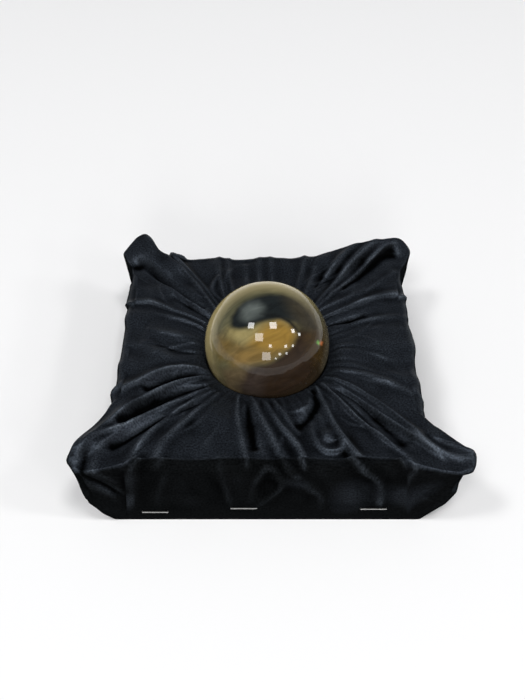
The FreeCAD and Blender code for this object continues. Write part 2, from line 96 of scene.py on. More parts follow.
# Each corner's spare cloth, going round to the left seen from above: the rim in plan with its height,
# how far the ear still stands out at each height, and the hollow at its end
earShapes = (
    {"name": "backRight",
     "rim": ((75.7, 57, 43), (76.2, 64, 42.7), (79.6, 71.4, 42.4), (82.4, 79, 42.4), (83.1, 81.5, 42.8),
             (82, 83.8, 44), (78.7, 87.1, 46.6), (76.6, 87.5, 47.4), (74, 86, 48), (66.5, 82.8, 48.7),
             (57.2, 81.6, 49), (49.8, 80.4, 48.1), (39, 78, 46), (28, 75.8, 43.6)),
     "share": ((0, 0), (14, 0.55), (25, 0.77), (40, 1)), "foot": (7, 11), "soft": 3.0,
     "hollow": {"from": 0.3, "to": 0.44, "low": 22, "high": 40, "deep": 6}},
    {"name": "backLeft",
     "rim": ((-57, 75.8, 43.1), (-60.2, 75.9, 43.6), (-64, 80.4, 44.2), (-68.2, 88.5, 45.7),
             (-70.2, 91.9, 46.4), (-72, 92.6, 46.5), (-75.5, 90, 46), (-79.5, 85, 44.2), (-82.4, 81.2, 42.4),
             (-82.8, 79.8, 42), (-80.2, 74, 41.7), (-77.4, 68.1, 41.6), (-75.8, 60, 42.8)),
     "share": ((0, 0), (14, 0.54), (25, 0.76), (40, 1)), "foot": (8, 7), "soft": 2.4,
     "hollow": {"from": 0.42, "to": 0.6, "low": 20, "high": 43, "deep": 8}},
    {"name": "frontLeft",
     "rim": ((-75.8, -36, 43), (-78.6, -45.2, 43.4), (-84.8, -56.8, 43.8), (-91.4, -68.9, 43.4),
             (-92.7, -71.2, 42.9), (-91.8, -73, 41.8), (-89.8, -74, 41), (-89.5, -76.4, 40.8),
             (-84, -79.3, 41.4), (-75.5, -77.9, 42.2), (-64.8, -75.9, 42.9)),
     "share": ((0, 0), (5, 0.34), (14, 0.7), (25, 0.8), (40, 1)), "foot": (10, 7), "soft": 2.4,
     "hollow": {"from": 0.62, "to": 0.68, "low": 20, "high": 39, "deep": 3}},
    {"name": "frontRight",
     "rim": ((65, -75.9, 42.9), (71, -77.3, 42.8), (78.4, -78.8, 42.4), (88.4, -79.3, 41),
             (93.8, -77, 40.8), (95.8, -73, 41.2), (96.6, -69, 42.8), (95.8, -67.2, 43.8),
             (93.6, -67.1, 44), (87.3, -60.9, 43.7), (79.9, -53.4, 43.3), (75.8, -46, 43)),
     "share": ((0, 0), (14, 0.53), (25, 0.77), (40, 1)), "foot": (7, 9), "soft": 2.4,
     "hollow": {"from": 0.38, "to": 0.5, "low": 26, "high": 43, "deep": 9}},
)

# Folds in plan, x to the right and y away; past the edge the cloth is laid out flat, so y -90 is 15 down
# the front. Each is (points, heights, half widths, lean): a valley has minus heights, and lean makes one
# flank the steeper.
folds = (
    # back left corner
    (((-27, 29), (-40, 52), (-55, 71), (-72, 92)), (1.2, 2.6, 2.4), (1.0, 2.2, 3.4), 0.2),
    (((-25, 32), (-36, 51), (-50, 70), (-66, 90)), (0.9, 1.6, 1.2), (0.8, 1.4, 1.8), -0.1),
    (((-34, 31), (-47, 44), (-58, 55), (-70, 66), (-79, 70)), (-1.4, -3.4, -3.2), (1.4, 3.0, 3.4), 0.0),
    (((-30, 26), (-45, 38), (-60, 54), (-73, 69)), (1.3, 2.6, 2.2), (0.9, 1.7, 2.6), -0.3),
    (((-32, 20), (-50, 29), (-62, 36), (-76, 39), (-76, 60)), (0.8, 1.8, 1.2), (0.8, 1.6, 2.4), 0.3),
    (((-33, 16), (-44, 21), (-55, 24)), (0.9, 1.2, 0.2), (0.8, 1.4, 2.4), 0.0),
    (((-31, 23), (-42, 32), (-52, 41)), (-0.8, -1.4, -0.2), (0.7, 1.4, 2.2), 0.0),
    # left side
    (((-35, -7), (-48, -8), (-64, 2), (-78, 6)), (0.3, 1.4, 0.6), (2.0, 5.0, 6.5), 0.0),
    (((-36, 5), (-50, 10), (-64, 16)), (0.3, 0.9, 0.4), (2.0, 4.0, 6.0), 0.2),
    (((-38, -3), (-52, 0), (-62, 8)), (-0.3, -0.9, -0.2), (1.2, 2.0, 3.0), 0.0),
    # front left
    (((-30, -14), (-45, -14.5), (-60, -21), (-77, -33)), (1.2, 2.8, 1.6), (0.9, 1.9, 3.0), 0.35),
    (((-30, -16.5), (-42, -19), (-52, -24), (-62, -30)), (-1.0, -3.0, -1.2), (0.8, 2.2, 2.4), 0.0),
    (((-29, -19), (-48, -27), (-64, -39), (-78, -54), (-91, -70)), (1.5, 3.8, 2.8), (1.0, 2.2, 3.2), 0.3),
    (((-31, -26), (-46, -32), (-58, -40), (-72, -52)), (-1.2, -3.6, -2.6), (1.0, 2.8, 2.6), 0.0),
    (((-29, -27), (-50, -41), (-68, -52), (-82, -60), (-90, -74)), (1.2, 2.8, 2.0), (0.9, 1.8, 2.2), -0.2),
    (((-33, -38), (-52, -50), (-66, -60), (-76, -66)), (-0.6, -1.8, -1.4), (0.8, 1.8, 2.0), 0.0),
    (((-26, -28), (-45, -45), (-55, -57), (-62, -71), (-64, -92)), (1.1, 2.4, 1.4), (0.9, 1.7, 2.8), 0.2),
    (((-70, -56), (-78, -64), (-79, -76), (-74, -84)), (0.6, 1.8, 1.0), (1.4, 1.8, 2.4), 0.0),
    (((-84, -66), (-84.5, -78), (-83, -92), (-80, -106)), (-0.6, -3.2, -1.0), (1.2, 2.0, 2.4), 0.0),
    # front
    (((-24, -30), (-38, -48), (-49, -64), (-52, -78)), (1.0, 1.9, 0.9), (0.9, 1.6, 2.6), 0.0),
    (((-14, -31), (-14, -48), (-10, -70), (-8, -76)), (1.0, 1.8, 1.2), (0.7, 1.1, 1.4), 0.5),
    (((-10, -36), (-8, -52), (-5, -68)), (-0.5, -1.8, -1.2), (0.9, 2.4, 2.4), 0.0),
    (((-8, -32), (-4, -45), (2, -60), (10, -76), (17, -82)), (1.2, 2.4, 1.8), (0.8, 1.3, 1.8), -0.3),
    (((-3, -33), (5, -50), (14, -64), (18, -77)), (1.0, 2.0, 1.4), (0.7, 1.2, 1.5), 0.2),
    (((2, -33), (10, -49), (16, -59)), (0.9, 1.4, 0.3), (0.7, 1.1, 1.6), 0.0),
    (((22, -27), (24, -38), (19, -48), (12, -54)), (-1.0, -2.2, -0.8), (1.2, 2.6, 2.6), 0.0),
    (((24, -25), (28, -40), (33, -55), (42, -72), (51, -84), (52, -108)),
     (1.4, 3.0, 1.8), (0.9, 1.5, 2.2), 0.3),
    (((21, -50), (22, -60), (27, -67), (34, -66), (35, -58)), (0.8, 1.8, 0.9), (0.9, 1.4, 1.6), 0.0),
    (((25, -55), (29, -60), (30, -63)), (0.3, 1.6, 0.4), (2.4, 3.4, 2.6), 0.0),
    (((10, -44), (19, -40), (21, -33)), (0.3, 0.9, 0.5), (0.8, 1.2, 1.2), 0.0),
    (((-60, -74), (-62, -92), (-63, -112)), (0.4, 1.3, 0.2), (2.0, 2.4, 3.0), 0.3),
    (((-46, -76), (-50, -92), (-51, -110)), (0.3, 1.0, 0.2), (2.0, 2.6, 3.0), -0.2),
    (((-22, -72), (-19, -88), (-16, -106)), (0.4, 1.4, 0.3), (1.6, 2.0, 2.2), 0.2),
    (((-8, -98), (-6, -84), (-1, -74), (5, -77), (6, -88), (-1, -98), (-7, -104)),
     (0.7, 1.8, 0.6), (1.2, 1.7, 1.6), 0.0),
    (((4, -80), (14, -84), (24, -94), (24, -108)), (0.6, 1.8, 0.6), (3.0, 4.6, 5.0), 0.0),
    (((-1, -86), (2, -84), (1, -92)), (-0.6, -1.6, -0.6), (1.6, 2.0, 1.6), 0.0),
    # front right
    (((27, -24), (40, -44), (55, -61), (66, -74), (70, -92)), (1.2, 2.4, 1.2), (0.9, 1.4, 2.4), -0.2),
    (((34, -29), (46, -39), (60, -57), (66, -66)), (-0.8, -3.0, -1.0), (1.0, 2.6, 2.6), 0.0),
    (((29, -19), (46, -30), (62, -47), (79, -66), (96, -71)), (1.2, 2.8, 2.2), (0.9, 1.6, 2.4), 0.3),
    (((31, -15), (50, -19), (66, -28), (78, -38)), (0.6, 1.4, 0.8), (1.0, 2.6, 4.0), 0.0),
    (((33, -24), (50, -40), (66, -56), (84, -74)), (0.5, 1.4, 1.2), (0.7, 1.2, 1.6), 0.0),
    (((30, -27), (44, -44), (52, -56)), (-0.5, -1.2, -0.3), (0.6, 1.2, 1.4), 0.0),
    # right side
    (((34, 4), (52, 4), (78, 2)), (0.3, 1.6, 1.2), (4.0, 9.0, 12.0), 0.0),
    (((33, 14), (45, 19), (60, 23), (78, 26)), (0.6, 1.4, 0.6), (0.8, 1.8, 3.0), 0.2),
    (((33, 18), (44, 22), (54, 26)), (-0.8, -1.8, -0.3), (0.8, 1.5, 2.0), 0.0),
    (((29, 23), (48, 33), (64, 41), (78, 43)), (1.2, 2.4, 1.4), (0.8, 1.6, 2.6), -0.2),
    (((28, 29), (44, 39), (56, 48)), (0.6, 1.2, 0.4), (0.8, 1.3, 2.0), 0.0),
    # back right corner
    (((25, 31), (35, 47), (45, 63), (58, 78), (74, 88)), (1.4, 3.0, 2.2), (0.9, 1.5, 2.4), 0.2),
    (((27, 31), (39, 46), (52, 62), (66, 77), (78, 86)), (1.2, 2.6, 2.0), (0.7, 1.2, 1.8), -0.2),
    (((23, 35), (30, 52), (42, 70), (54, 81)), (1.1, 2.2, 1.6), (0.8, 1.3, 2.2), 0.0),
    (((42, 48), (54, 63), (66, 74), (76, 79)), (-1.2, -4.2, -3.6), (1.6, 4.2, 4.0), 0.0),
    (((24, 38), (28, 48), (33, 58)), (-0.8, -1.8, -0.6), (0.8, 1.4, 1.6), 0.0),
    (((50, 40), (62, 52), (74, 64)), (0.4, 1.4, 1.2), (1.6, 2.6, 3.0), 0.0),
    # back
    (((-20, 30), (-24, 44), (-27, 62), (-28, 80)), (0.9, 1.3, 0.6), (0.7, 1.2, 2.2), 0.0),
    (((-15, 31), (-19, 46), (-22, 62), (-22, 78)), (0.8, 1.2, 0.5), (0.7, 1.2, 2.0), 0.3),
    (((-9, 33), (-11, 50), (-12, 70)), (0.6, 0.9, 0.4), (0.7, 1.4, 2.2), 0.0),
    (((-3, 34), (-4, 52), (-4, 78)), (0.6, 0.9, 0.4), (0.7, 1.6, 2.4), 0.0),
    (((4, 34), (3, 52), (2, 78)), (0.6, 0.9, 0.4), (0.7, 1.6, 2.4), 0.0),
    (((13, 32), (17, 46), (20, 62), (24, 80)), (0.8, 1.3, 0.8), (0.7, 1.2, 2.0), 0.0),
    (((18, 33), (23, 48), (28, 66)), (0.6, 1.1, 0.6), (0.7, 1.2, 2.0), 0.2),
    (((-24, 37), (-30, 46), (-27, 55), (-24, 46)), (0.6, 1.3, 0.5), (0.7, 1.0, 0.9), 0.0),
)

# Painted sheen: patches of the sides painted paler, as if they shine a little: middle on the flat cloth,
# reach, how much
paintedSheenPatches = (((-66, -97), 9, 0.4), ((-20, -98), 5, 0.2), ((12, -84), 9, 0.35), ((40, -90), 16, 0.4),
             ((62, -96), 12, 0.35), ((84, -92), 14, 0.45), ((-82, -88), 7, 0.2), ((34, -106), 12, 0.2))


def evenSteps(dense, count):
    # the same line in even steps
    step = np.concatenate([[0], np.cumsum(np.linalg.norm(np.diff(dense, axis=0), axis=1))])
    want = np.linspace(0, step[-1], count)
    return np.column_stack([np.interp(want, step, dense[:, k]) for k in range(dense.shape[1])])


def smoothLine(points, count):
    # even steps along a smooth curve through the points
    p = np.array(points, float)
    p = np.vstack([2 * p[0] - p[1], p, 2 * p[-1] - p[-2]])
    dense = []
    for i in range(1, len(p) - 2):
        t = np.linspace(0, 1, 24, endpoint=i == len(p) - 3)[:, None]
        a, b, c, d = p[i - 1], p[i], p[i + 1], p[i + 2]
        bend, swing = 2 * a - 5 * b + 4 * c - d, 3 * b - a - 3 * c + d
        dense.append(0.5 * (2 * b + (c - a) * t + bend * t**2 + swing * t**3))
    return evenSteps(np.vstack(dense), count)


def softLine(points, count, soft):
    # even steps along straight runs whose corners are rounded
    p = np.array(points, float)
    step = np.concatenate([[0], np.cumsum(np.linalg.norm(np.diff(p, axis=0), axis=1))])
    want = np.arange(0, step[-1], 0.2)
    dense = np.column_stack([np.interp(want, step, p[:, k]) for k in range(p.shape[1])])
    half = int(soft / 0.4)
    padded = np.vstack([2 * dense[0] - dense[half:0:-1], dense, 2 * dense[-1] - dense[-2:-half - 2:-1]])
    sums = np.cumsum(np.vstack([np.zeros(p.shape[1]), padded]), axis=0)
    return evenSteps((sums[2 * half + 1:] - sums[:-2 * half - 1]) / (2 * half + 1), count)


def smoothStep(value, low, high):
    t = np.clip((value - low) / (high - low), 0, 1)
    return t * t * (3 - 2 * t)


def foldHeight(x, y):
    # the height of all the folds at each place of the cloth laid out flat
    total = np.zeros(x.shape)
    for points, high, wide, lean in folds + tuple(fineCreases()):
        line = smoothLine(points, 26)
        share = np.linspace(0, 1, 26)
        reach = 4.5 * max(wide) * (1 + abs(lean)) * satinSizes["foldWide"]
        near = ((x > line[:, 0].min() - reach) & (x < line[:, 0].max() + reach)
                & (y > line[:, 1].min() - reach) & (y < line[:, 1].max() + reach))
        px, py = x[near], y[near]
        best, along, side = np.full(px.shape, 1e9), np.zeros(px.shape), np.ones(px.shape)
        for i in range(25):
            (ax, ay), (bx, by) = line[i], line[i + 1]
            dx, dy = bx - ax, by - ay
            t = np.clip(((px - ax) * dx + (py - ay) * dy) / (dx * dx + dy * dy), 0, 1)
            gap = np.hypot(px - ax - t * dx, py - ay - t * dy)
            closer = gap < best
            best = np.where(closer, gap, best)
            along = np.where(closer, share[i] + t * (share[i + 1] - share[i]), along)
            side = np.where(closer, np.sign((px - ax) * dy - (py - ay) * dx), side)
        tall = np.interp(along, (0, 0.5, 1), high) * satinSizes["foldTall"]
        widen = satinSizes["foldWide"] if high[1] > 0 else satinSizes["valleyWide"]
        half = np.interp(along, (0, 0.5, 1), wide) * (1 + 0.55 * lean * side) * widen
        ends = smoothStep(along, 1.0, 0.9)
        sharp = satinSizes["crestSharp"] if high[1] > 0 else 1.8
        total[near] += tall * ends * np.exp(-(np.hypot(best, 0.35) / half) ** sharp)
    return total


def softWrinkles(x, y, seed, low, high, count):
    # gentle puffs: waves of many lengths and directions
    draw = np.random.RandomState(seed)
    total = np.zeros(x.shape)
    for _ in range(count):
        length, turn = draw.uniform(low, high), draw.uniform(0, math.pi)
        start = draw.uniform(0, 2 * math.pi)
        total += np.sin((x * math.cos(turn) + y * math.sin(turn)) * 2 * math.pi / length + start)
    return total / math.sqrt(count)


corners = ((1, 1), (-1, 1), (-1, -1), (1, -1))


def footEnds(k):
    # where the ear's foot leaves one side of the box, and where it meets the next
    half = satinSizes["boxHalf"]
    cx, cy = corners[k]
    first, last = earShapes[k]["foot"]
    if k % 2:
        return np.array(((cx * (half - first), cy * half), (cx * half, cy * (half - last))))
    return np.array(((cx * half, cy * (half - first)), (cx * (half - last), cy * half)))


def footLine(k, count):
    # round the box corner under an ear
    a, b = footEnds(k)
    corner, bend = np.array(corners[k]) * satinSizes["boxHalf"], satinSizes["footRound"]
    toA, toB = (a - corner) / np.linalg.norm(a - corner), (b - corner) / np.linalg.norm(b - corner)
    path = (a, corner + toA * bend * 1.6, corner + (toA + toB) * bend * 0.3, corner + toB * bend * 1.6, b)
    return smoothLine(path, count + 1)[:-1]


def satinColumns():
    # one entry a column round the box: rim, inner point, foot, its ear or -1, and its place along the ear
    # or the side
    s = satinSizes
    columns = []
    for k, shape in enumerate(earShapes):
        after = (k + 1) % 4
        first, last = np.array(shape["rim"][0]), np.array(shape["rim"][-1])
        nxt = np.array(earShapes[after]["rim"][0])
        count = s["earColumns"]
        share = np.arange(count) / count
        line = softLine(shape["rim"], count + 1, shape["soft"])[:-1]
        chord = first + (last - first) * share[:, None]
        columns.append((line, chord[:, :2] * s["innerShare"], footLine(k, count), np.full(count, k), share))
        count = s["sideColumns"]
        share = np.arange(count) / count
        line = last + (nxt - last) * share[:, None]
        b, c = footEnds(k)[1], footEnds(after)[0]
        columns.append((line, line[:, :2] * s["innerShare"], b + (c - b) * share[:, None],
                        np.full(count, -1), share))
    return [np.concatenate(v) for v in zip(*columns)]


def satinGrid():
    # rows of points from the pole under the ball out over the top, down the sides and up the hem
    s = satinSizes
    rim, inner, foot, ear, place = satinColumns()
    count = len(rim)
    turn = np.arctan2(inner[:, 1], inner[:, 0])
    lip = s["lipRadius"] * np.column_stack([np.cos(turn), np.sin(turn)])
    isEar = ear >= 0
    # the edge isn't straight: it dips a little between the corners
    dip = softWrinkles(rim[:, 0], rim[:, 1], 23, 12, 50, 10)
    held = np.where(isEar, 0, np.clip(np.minimum(place, 1 - place) * 8, 0, 1))
    rim = rim + np.column_stack([np.zeros((count, 2)), -s["edgeDip"] * held * np.clip(dip + 0.6, 0, 2)])
    # the round grows softly out of each ear
    grow = np.clip(np.minimum(place, 1 - place) * 6, 0, 1)
    roundness = s["edgeRound"] + np.where(isEar, (s["earRound"] - s["edgeRound"]) * grow, 0)
    first = np.linalg.norm(inner - lip, axis=1)
    second = np.linalg.norm(rim[:, :2] - inner, axis=1)
    length = first + second
    out = rim[:, :2] - inner
    side = ~isEar
    face = np.where(np.abs(rim[:, 0]) > np.abs(rim[:, 1]), 0, 1)
    square = np.zeros_like(out)
    square[np.arange(count), face] = np.sign(rim[np.arange(count), face])
    out[side] = square[side]
    out /= np.linalg.norm(out, axis=1)[:, None]
    rows, flat, weight, dents = [], [], [], []

    def addRow(xy, z, laid, give, dent=0.0):
        rows.append(np.column_stack([xy, z + np.zeros(count)]))
        flat.append(laid)
        weight.append(give + np.zeros(count))
        dents.append(dent + np.zeros(count))

    def onTop(gone):
        t = gone / length
        share = np.clip(gone / first, 0, 1)[:, None]
        beyond = np.clip((gone - first) / second, 0, 1)[:, None]
        xy = np.where(gone[:, None] < first[:, None], lip + (inner - lip) * share,
                      inner + (rim[:, :2] - inner) * beyond)
        r = np.hypot(xy[:, 0], xy[:, 1])
        fall = s["topHeight"] - s["lipHeight"]
        away = smoothStep(r, s["lipRadius"] - 5, s["lipRadius"] + s["lipReach"])
        z = s["topHeight"] - np.minimum(fall * (1 - away) * s["lipSteep"], fall)
        z = z + (rim[:, 2] - s["topHeight"]) * smoothStep(t, 0.45, 1.0)
        near = np.clip(roundness - (length - gone), 0, None)
        z = z - (roundness - np.sqrt(np.clip(roundness**2 - near**2, 0, None)))
        return xy, z

    # cup under the ball
    low = math.acos((s["lipHeight"] - ballSizes["middleHeight"]) / s["cupRadius"])
    for i in range(s["cupRows"]):
        angle = math.pi - (math.pi - low) * (i + 1) / (s["cupRows"] + 1)
        xy = s["cupRadius"] * math.sin(angle) * np.column_stack([np.cos(turn), np.sin(turn)])
        addRow(xy, ballSizes["middleHeight"] + s["cupRadius"] * math.cos(angle), xy, 0.0)
    # top
    for i in range(s["topRows"]):
        xy, z = onTop((length - roundness) * i / s["topRows"])
        r = np.hypot(xy[:, 0], xy[:, 1])
        give = smoothStep(r, s["lipRadius"] - 3, s["lipRadius"] + 5)
        addRow(xy, z, xy, give * (1 - 0.5 * isEar * smoothStep(i, 50, 74)))
    for i in range(s["roundRows"]):
        xy, z = onTop(length - roundness * (1 - np.sin(math.pi / 2 * i / s["roundRows"])))
        laid = rim[:, :2] - out * ((1 - i / s["roundRows"]) * roundness * 1.3)[:, None]
        addRow(xy, z, laid, 1 - 0.5 * isEar)
    # walls
    edgeZ = rim[:, 2] - roundness
    for i in range(s["wallRows"] + 1):
        z = edgeZ * (1 - i / s["wallRows"]) + 0.15 * i / s["wallRows"]
        stand, dent = np.clip(z / 40, 0, 1), np.zeros(count)
        for k, shape in enumerate(earShapes):
            heights, shares = zip(*shape["share"])
            full = np.interp(edgeZ, heights, shares)
            stand = np.where(ear == k, np.interp(z, heights, shares) / full, stand)
            hollow = shape["hollow"]
            across = (smoothStep(place, hollow["from"] - 0.05, hollow["from"] + 0.03)
                      * smoothStep(place, hollow["to"] + 0.05, hollow["to"] - 0.03))
            upright = (smoothStep(z, hollow["low"] - 4, hollow["low"] + 6)
                       * smoothStep(z, hollow["high"], hollow["high"] - 3))
            dent = np.where(ear == k, hollow["deep"] * across * upright, dent)
        xy = foot + (rim[:, :2] - foot) * stand[:, None] - out * dent[:, None]
        laid = rim[:, :2] + out * (edgeZ - z)[:, None]
        addRow(xy, z, laid, smoothStep(z, 2, 16) * (0.9 - 0.4 * isEar), dent)
    # under the boards, then up inside
    inside = foot * (s["hemHalf"] / s["boxHalf"])
    for share, z in ((0.5, 0.12), (1.0, 0.3)):
        addRow(foot + (inside - foot) * share, z, flat[-1] + out * 1.7, 0.0)
    for i in range(1, s["hemRows"] + 1):
        addRow(inside, s["hemTop"] * i / s["hemRows"], flat[-1] + out * s["hemTop"] / s["hemRows"], 0.0)
    firm = np.zeros((len(rows), count), bool)
    firm[s["cupRows"] + s["topRows"]:] = side
    return np.array(rows), np.array(flat), np.array(weight), np.array(dents), firm


def meshFrom(name, points, faces, loopUv=None):
    mesh = bpy.data.meshes.new(name)
    mesh.from_pydata([tuple(p) for p in points], [], faces)
    mesh.update()
    obj = bpy.data.objects.new(name, mesh)
    scene.collection.objects.link(obj)
    for polygon in mesh.polygons:
        polygon.use_smooth = True
    if loopUv is not None:
        layer = mesh.uv_layers.new(name="weave")
        layer.data.foreach_set("uv", np.asarray(loopUv, np.float32).ravel())
    return obj


def ballPleats(turn, r):
    # the fine gathers close to the ball, all running outwards
    draw = np.random.RandomState(21)
    total = np.zeros(turn.shape)
    for _ in range(14):
        count, start = draw.randint(24, 84), draw.uniform(0, 2 * math.pi)
        twist, tall = draw.uniform(-0.03, 0.03), draw.uniform(0.4, 1.0)
        total += tall * np.sin(count * (turn + twist * (r - 32) / 30) + start)
    return total / 4 * smoothStep(r, 58, 34)


def fineCreases():
    # thin creases between the folds, most of them running out from the ball
    draw = np.random.RandomState(8)
    found = []
    for _ in range(satinSizes["creases"]):
        turn, r, long = draw.uniform(0, 2 * math.pi), draw.uniform(33, 62), draw.uniform(12, 38)
        swing, bend, tall = draw.uniform(-0.35, 0.35), draw.uniform(-0.5, 0.5), draw.uniform(0.25, 0.75)
        points = []
        for share in (0, 0.33, 0.67, 1):
            way = turn + swing + bend * share
            step = long * share
            points.append((r * math.cos(turn) + step * math.cos(way),
                           r * math.sin(turn) + step * math.sin(way)))
        if max(abs(v) for point in points for v in point) < 72:
            wide = draw.uniform(0.45, 0.8)
            lean = draw.uniform(-0.4, 0.4)
            high, half = (0.2 * tall, tall, 0.1 * tall), (wide, wide * 1.4, wide * 1.8)
            found.append((tuple(points), high, half, lean))
    return found


def spread(values, times):
    # the mean of each place's neighbourhood on the grid, which closes on itself from column to column
    for _ in range(times):
        values = (np.roll(values, 1, axis=1) + np.roll(values, -1, axis=1) + values) / 3
        values[1:-1] = (values[:-2] + values[2:] + values[1:-1]) / 3
    return values


def gridNormals(rows):
    across = np.roll(rows, -1, axis=1) - np.roll(rows, 1, axis=1)
    along = np.empty_like(rows)
    along[1:-1] = rows[2:] - rows[:-2]
    along[0], along[-1] = rows[1] - rows[0], rows[-1] - rows[-2]
    normal = np.cross(along, across)
    return normal / np.maximum(np.linalg.norm(normal, axis=2), 1e-9)[:, :, None]


def makeSatin():
    rows, flat, weight, dents, firm = satinGrid()
    x, y = flat[:, :, 0], flat[:, :, 1]
    r, turn = np.hypot(x, y), np.arctan2(y, x)
    high = foldHeight(x, y) + ballPleats(turn, r) * 0.26
    high += softWrinkles(x, y, 5, 18, 46, 14) * 0.6 + softWrinkles(x, y, 11, 7, 15, 14) * 0.1
    high *= weight
    # the boards don't give way, the ears do
    give = satinSizes["boardGive"] + 3.5 * smoothStep(rows[:, :, 2], 18, 34)
    high = np.maximum(high, -np.where(firm, satinSizes["boardGive"], give))
    # pushed along the normals of wide neighbourhoods, so that creases don't cross
    normal = spread(gridNormals(rows), 6)
    normal /= np.linalg.norm(normal, axis=2)[:, :, None]
    rows = rows + normal * high[:, :, None]
    # painted light and shade for the cloth's colour: painted highlights on the crests, painted shade in the
    # folds, and faces painted paler the more they look up
    crest, line = high - spread(high, 12), high - spread(high, 3)
    # painted light: the more a face looks up, the paler it is painted
    up = np.clip(gridNormals(rows)[:, :, 2], 0, 1)
    # painted shade: the front edge and the front wall below it are painted darker
    front = spread((firm & (y < -np.abs(x) - 0.5)).astype(float), 1)
    up = up * (1 - 0.75 * front)     # the front edge catches little light
    # painted sheen: the sides are painted paler in these patches
    for (gx, gy), reach, amount in paintedSheenPatches:
        up = up + amount * np.exp(-((x - gx) ** 2 + (y - gy) ** 2) / reach**2)
    up = np.clip(up, 0, 1)
    patchy = np.clip(0.6 + 0.4 * softWrinkles(x, y, 31, 9, 30, 12), 0.15, 1.2) * (1 - 0.5 * front)
    # painted highlight along the crests, strongest on faces that look up
    pale = np.clip(0.5 * crest / 1.2 + 0.45 * line / 0.35, 0, 1) * (0.12 + 0.88 * up) * patchy
    # painted shade down in the folds and in the ears' hollows
    deep = np.clip(-crest / 0.65, 0, 1) + np.clip(dents / 4, 0, 1)
    tone = np.stack([pale, deep, up, np.ones_like(crest)], axis=2)
    # one point closes the cup under the ball
    n, m = rows.shape[:2]
    pole = np.array([[0, 0, ballSizes["middleHeight"] - satinSizes["cupRadius"]]])
    points = np.vstack([pole, rows.reshape(-1, 3)]) * mm
    uv = np.vstack([[0, 0], flat.reshape(-1, 2)]) / 100
    faces = [(0, 1 + j, 1 + (j + 1) % m) for j in range(m)]
    for i in range(n - 1):
        a = 1 + i * m
        for j in range(m):
            k = (j + 1) % m
            faces.append((a + m + j, a + m + k, a + k, a + j))
    cover = meshFrom("satinSheet", points, faces, [uv[v] for face in faces for v in face])
    # the painted light and shade goes onto the cloth as a colour attribute
    layer = cover.data.color_attributes.new("tone", "FLOAT_COLOR", "POINT")
    paintedShadingValues = np.vstack([np.zeros(4), tone.reshape(-1, 4)])
    layer.data.foreach_set("color", paintedShadingValues.astype(np.float32).ravel())
    return cover


def makeFoam(cover):
    # a square sheet with a round hole and soft edges, pressed down where the cloth's folds press it
    s = foamSizes
    tree = BVHTree.FromPolygons([v.co / mm for v in cover.data.vertices],
                                [tuple(f.vertices) for f in cover.data.polygons])
    turn = np.linspace(0, 2 * math.pi, s["columns"], endpoint=False)
    way = np.column_stack([np.cos(turn), np.sin(turn)])
    edge = s["half"] / np.abs(way).max(axis=1)
    quarter = np.linspace(0, math.pi / 2, 7)
    hole = s["hole"] + np.zeros_like(turn)
    rings = [(hole, s["low"]), (hole, s["top"] - s["holeRound"])]
    for a in quarter[1:]:
        rings.append((hole + s["holeRound"] * (1 - np.cos(a)), s["top"] - s["holeRound"] * (1 - np.sin(a))))
    start = s["hole"] + s["holeRound"]
    for share in np.linspace(0, 1, 30)[1:]:
        rings.append((start + (edge - s["edgeRound"] - start) * share, s["top"]))
    for a in quarter[1:]:
        rings.append((edge - s["edgeRound"] * (1 - np.sin(a)), s["top"] - s["edgeRound"] * (1 - np.cos(a))))
    rings.append((edge, s["low"]))
    points = []
    for reach, z in rings:
        for (cx, cy), out in zip(way, reach):
            low = z
            if z > s["low"]:
                for dx, dy in ((0, 0), (s["feel"], 0), (-s["feel"], 0), (0, s["feel"]), (0, -s["feel"])):
                    hit = tree.ray_cast(Vector((cx * out + dx, cy * out + dy, 80)), Vector((0, 0, -1)))[0]
                    if hit and hit.z > s["low"]:
                        low = min(low, hit.z - s["underSatin"])
                low = max(s["low"] + 0.4, low)
            points.append((cx * out * mm, cy * out * mm, low * mm))
    n, m = len(rings), s["columns"]
    faces = []
    for i in range(n):
        for j in range(m):
            k, after = (j + 1) % m, (i + 1) % n
            faces.append((i * m + j, after * m + j, after * m + k, i * m + k))
    return meshFrom("foamSheet", points, faces)


def nodeMaterial(name):
    material = bpy.data.materials.new(name)
    material.use_nodes = True
    tree = material.node_tree
    return material, tree, tree.nodes["Principled BSDF"]


def link(tree, source, target):
    tree.links.new(source, target)


def mixColour(tree, factor, a, b):
    mix = tree.nodes.new("ShaderNodeMix")
    mix.data_type = "RGBA"
    link(tree, factor, mix.inputs["Factor"])
    for socket, value in ((mix.inputs["A"], a), (mix.inputs["B"], b)):
        if isinstance(value, tuple):
            socket.default_value = (*value, 1)
        else:
            link(tree, value, socket)
    return mix.outputs["Result"]


def mapRange(tree, value, low, high, toLow=0.0, toHigh=1.0):
    node = tree.nodes.new("ShaderNodeMapRange")
    node.inputs["From Min"].default_value, node.inputs["From Max"].default_value = low, high
    node.inputs["To Min"].default_value, node.inputs["To Max"].default_value = toLow, toHigh
    link(tree, value, node.inputs["Value"])
    return node.outputs["Result"]


def noise(tree, place, scale, detail, distortion=0.0):
    node = tree.nodes.new("ShaderNodeTexNoise")
    node.inputs["Scale"].default_value = scale
    node.inputs["Detail"].default_value = detail
    node.inputs["Distortion"].default_value = distortion
    link(tree, place, node.inputs["Vector"])
    return node.outputs["Fac"]


def brighter(tree, colour, amount):
    node = tree.nodes.new("ShaderNodeVectorMath")
    node.operation = "SCALE"
    link(tree, colour, node.inputs[0])
    link(tree, amount, node.inputs["Scale"])
    return node.outputs["Vector"]


# painted light and shade: top is painted where the cloth faces up and side where it stands upright, deep is
# painted shade in the folds and crest a painted highlight on the crests
satinLook = {
    "top": (0.0225, 0.0270, 0.0340), "side": (0.0034, 0.0038, 0.0041), "deep": (0.0010, 0.0011, 0.0012),
    "crest": (0.068, 0.080, 0.096), "grain": (0.45, 1.65), "metal": 0.65,
    "roughness": 0.33, "specular": 0.0, "anisotropy": 0.4, "threads": 260.0, "bump": 0.12,
}


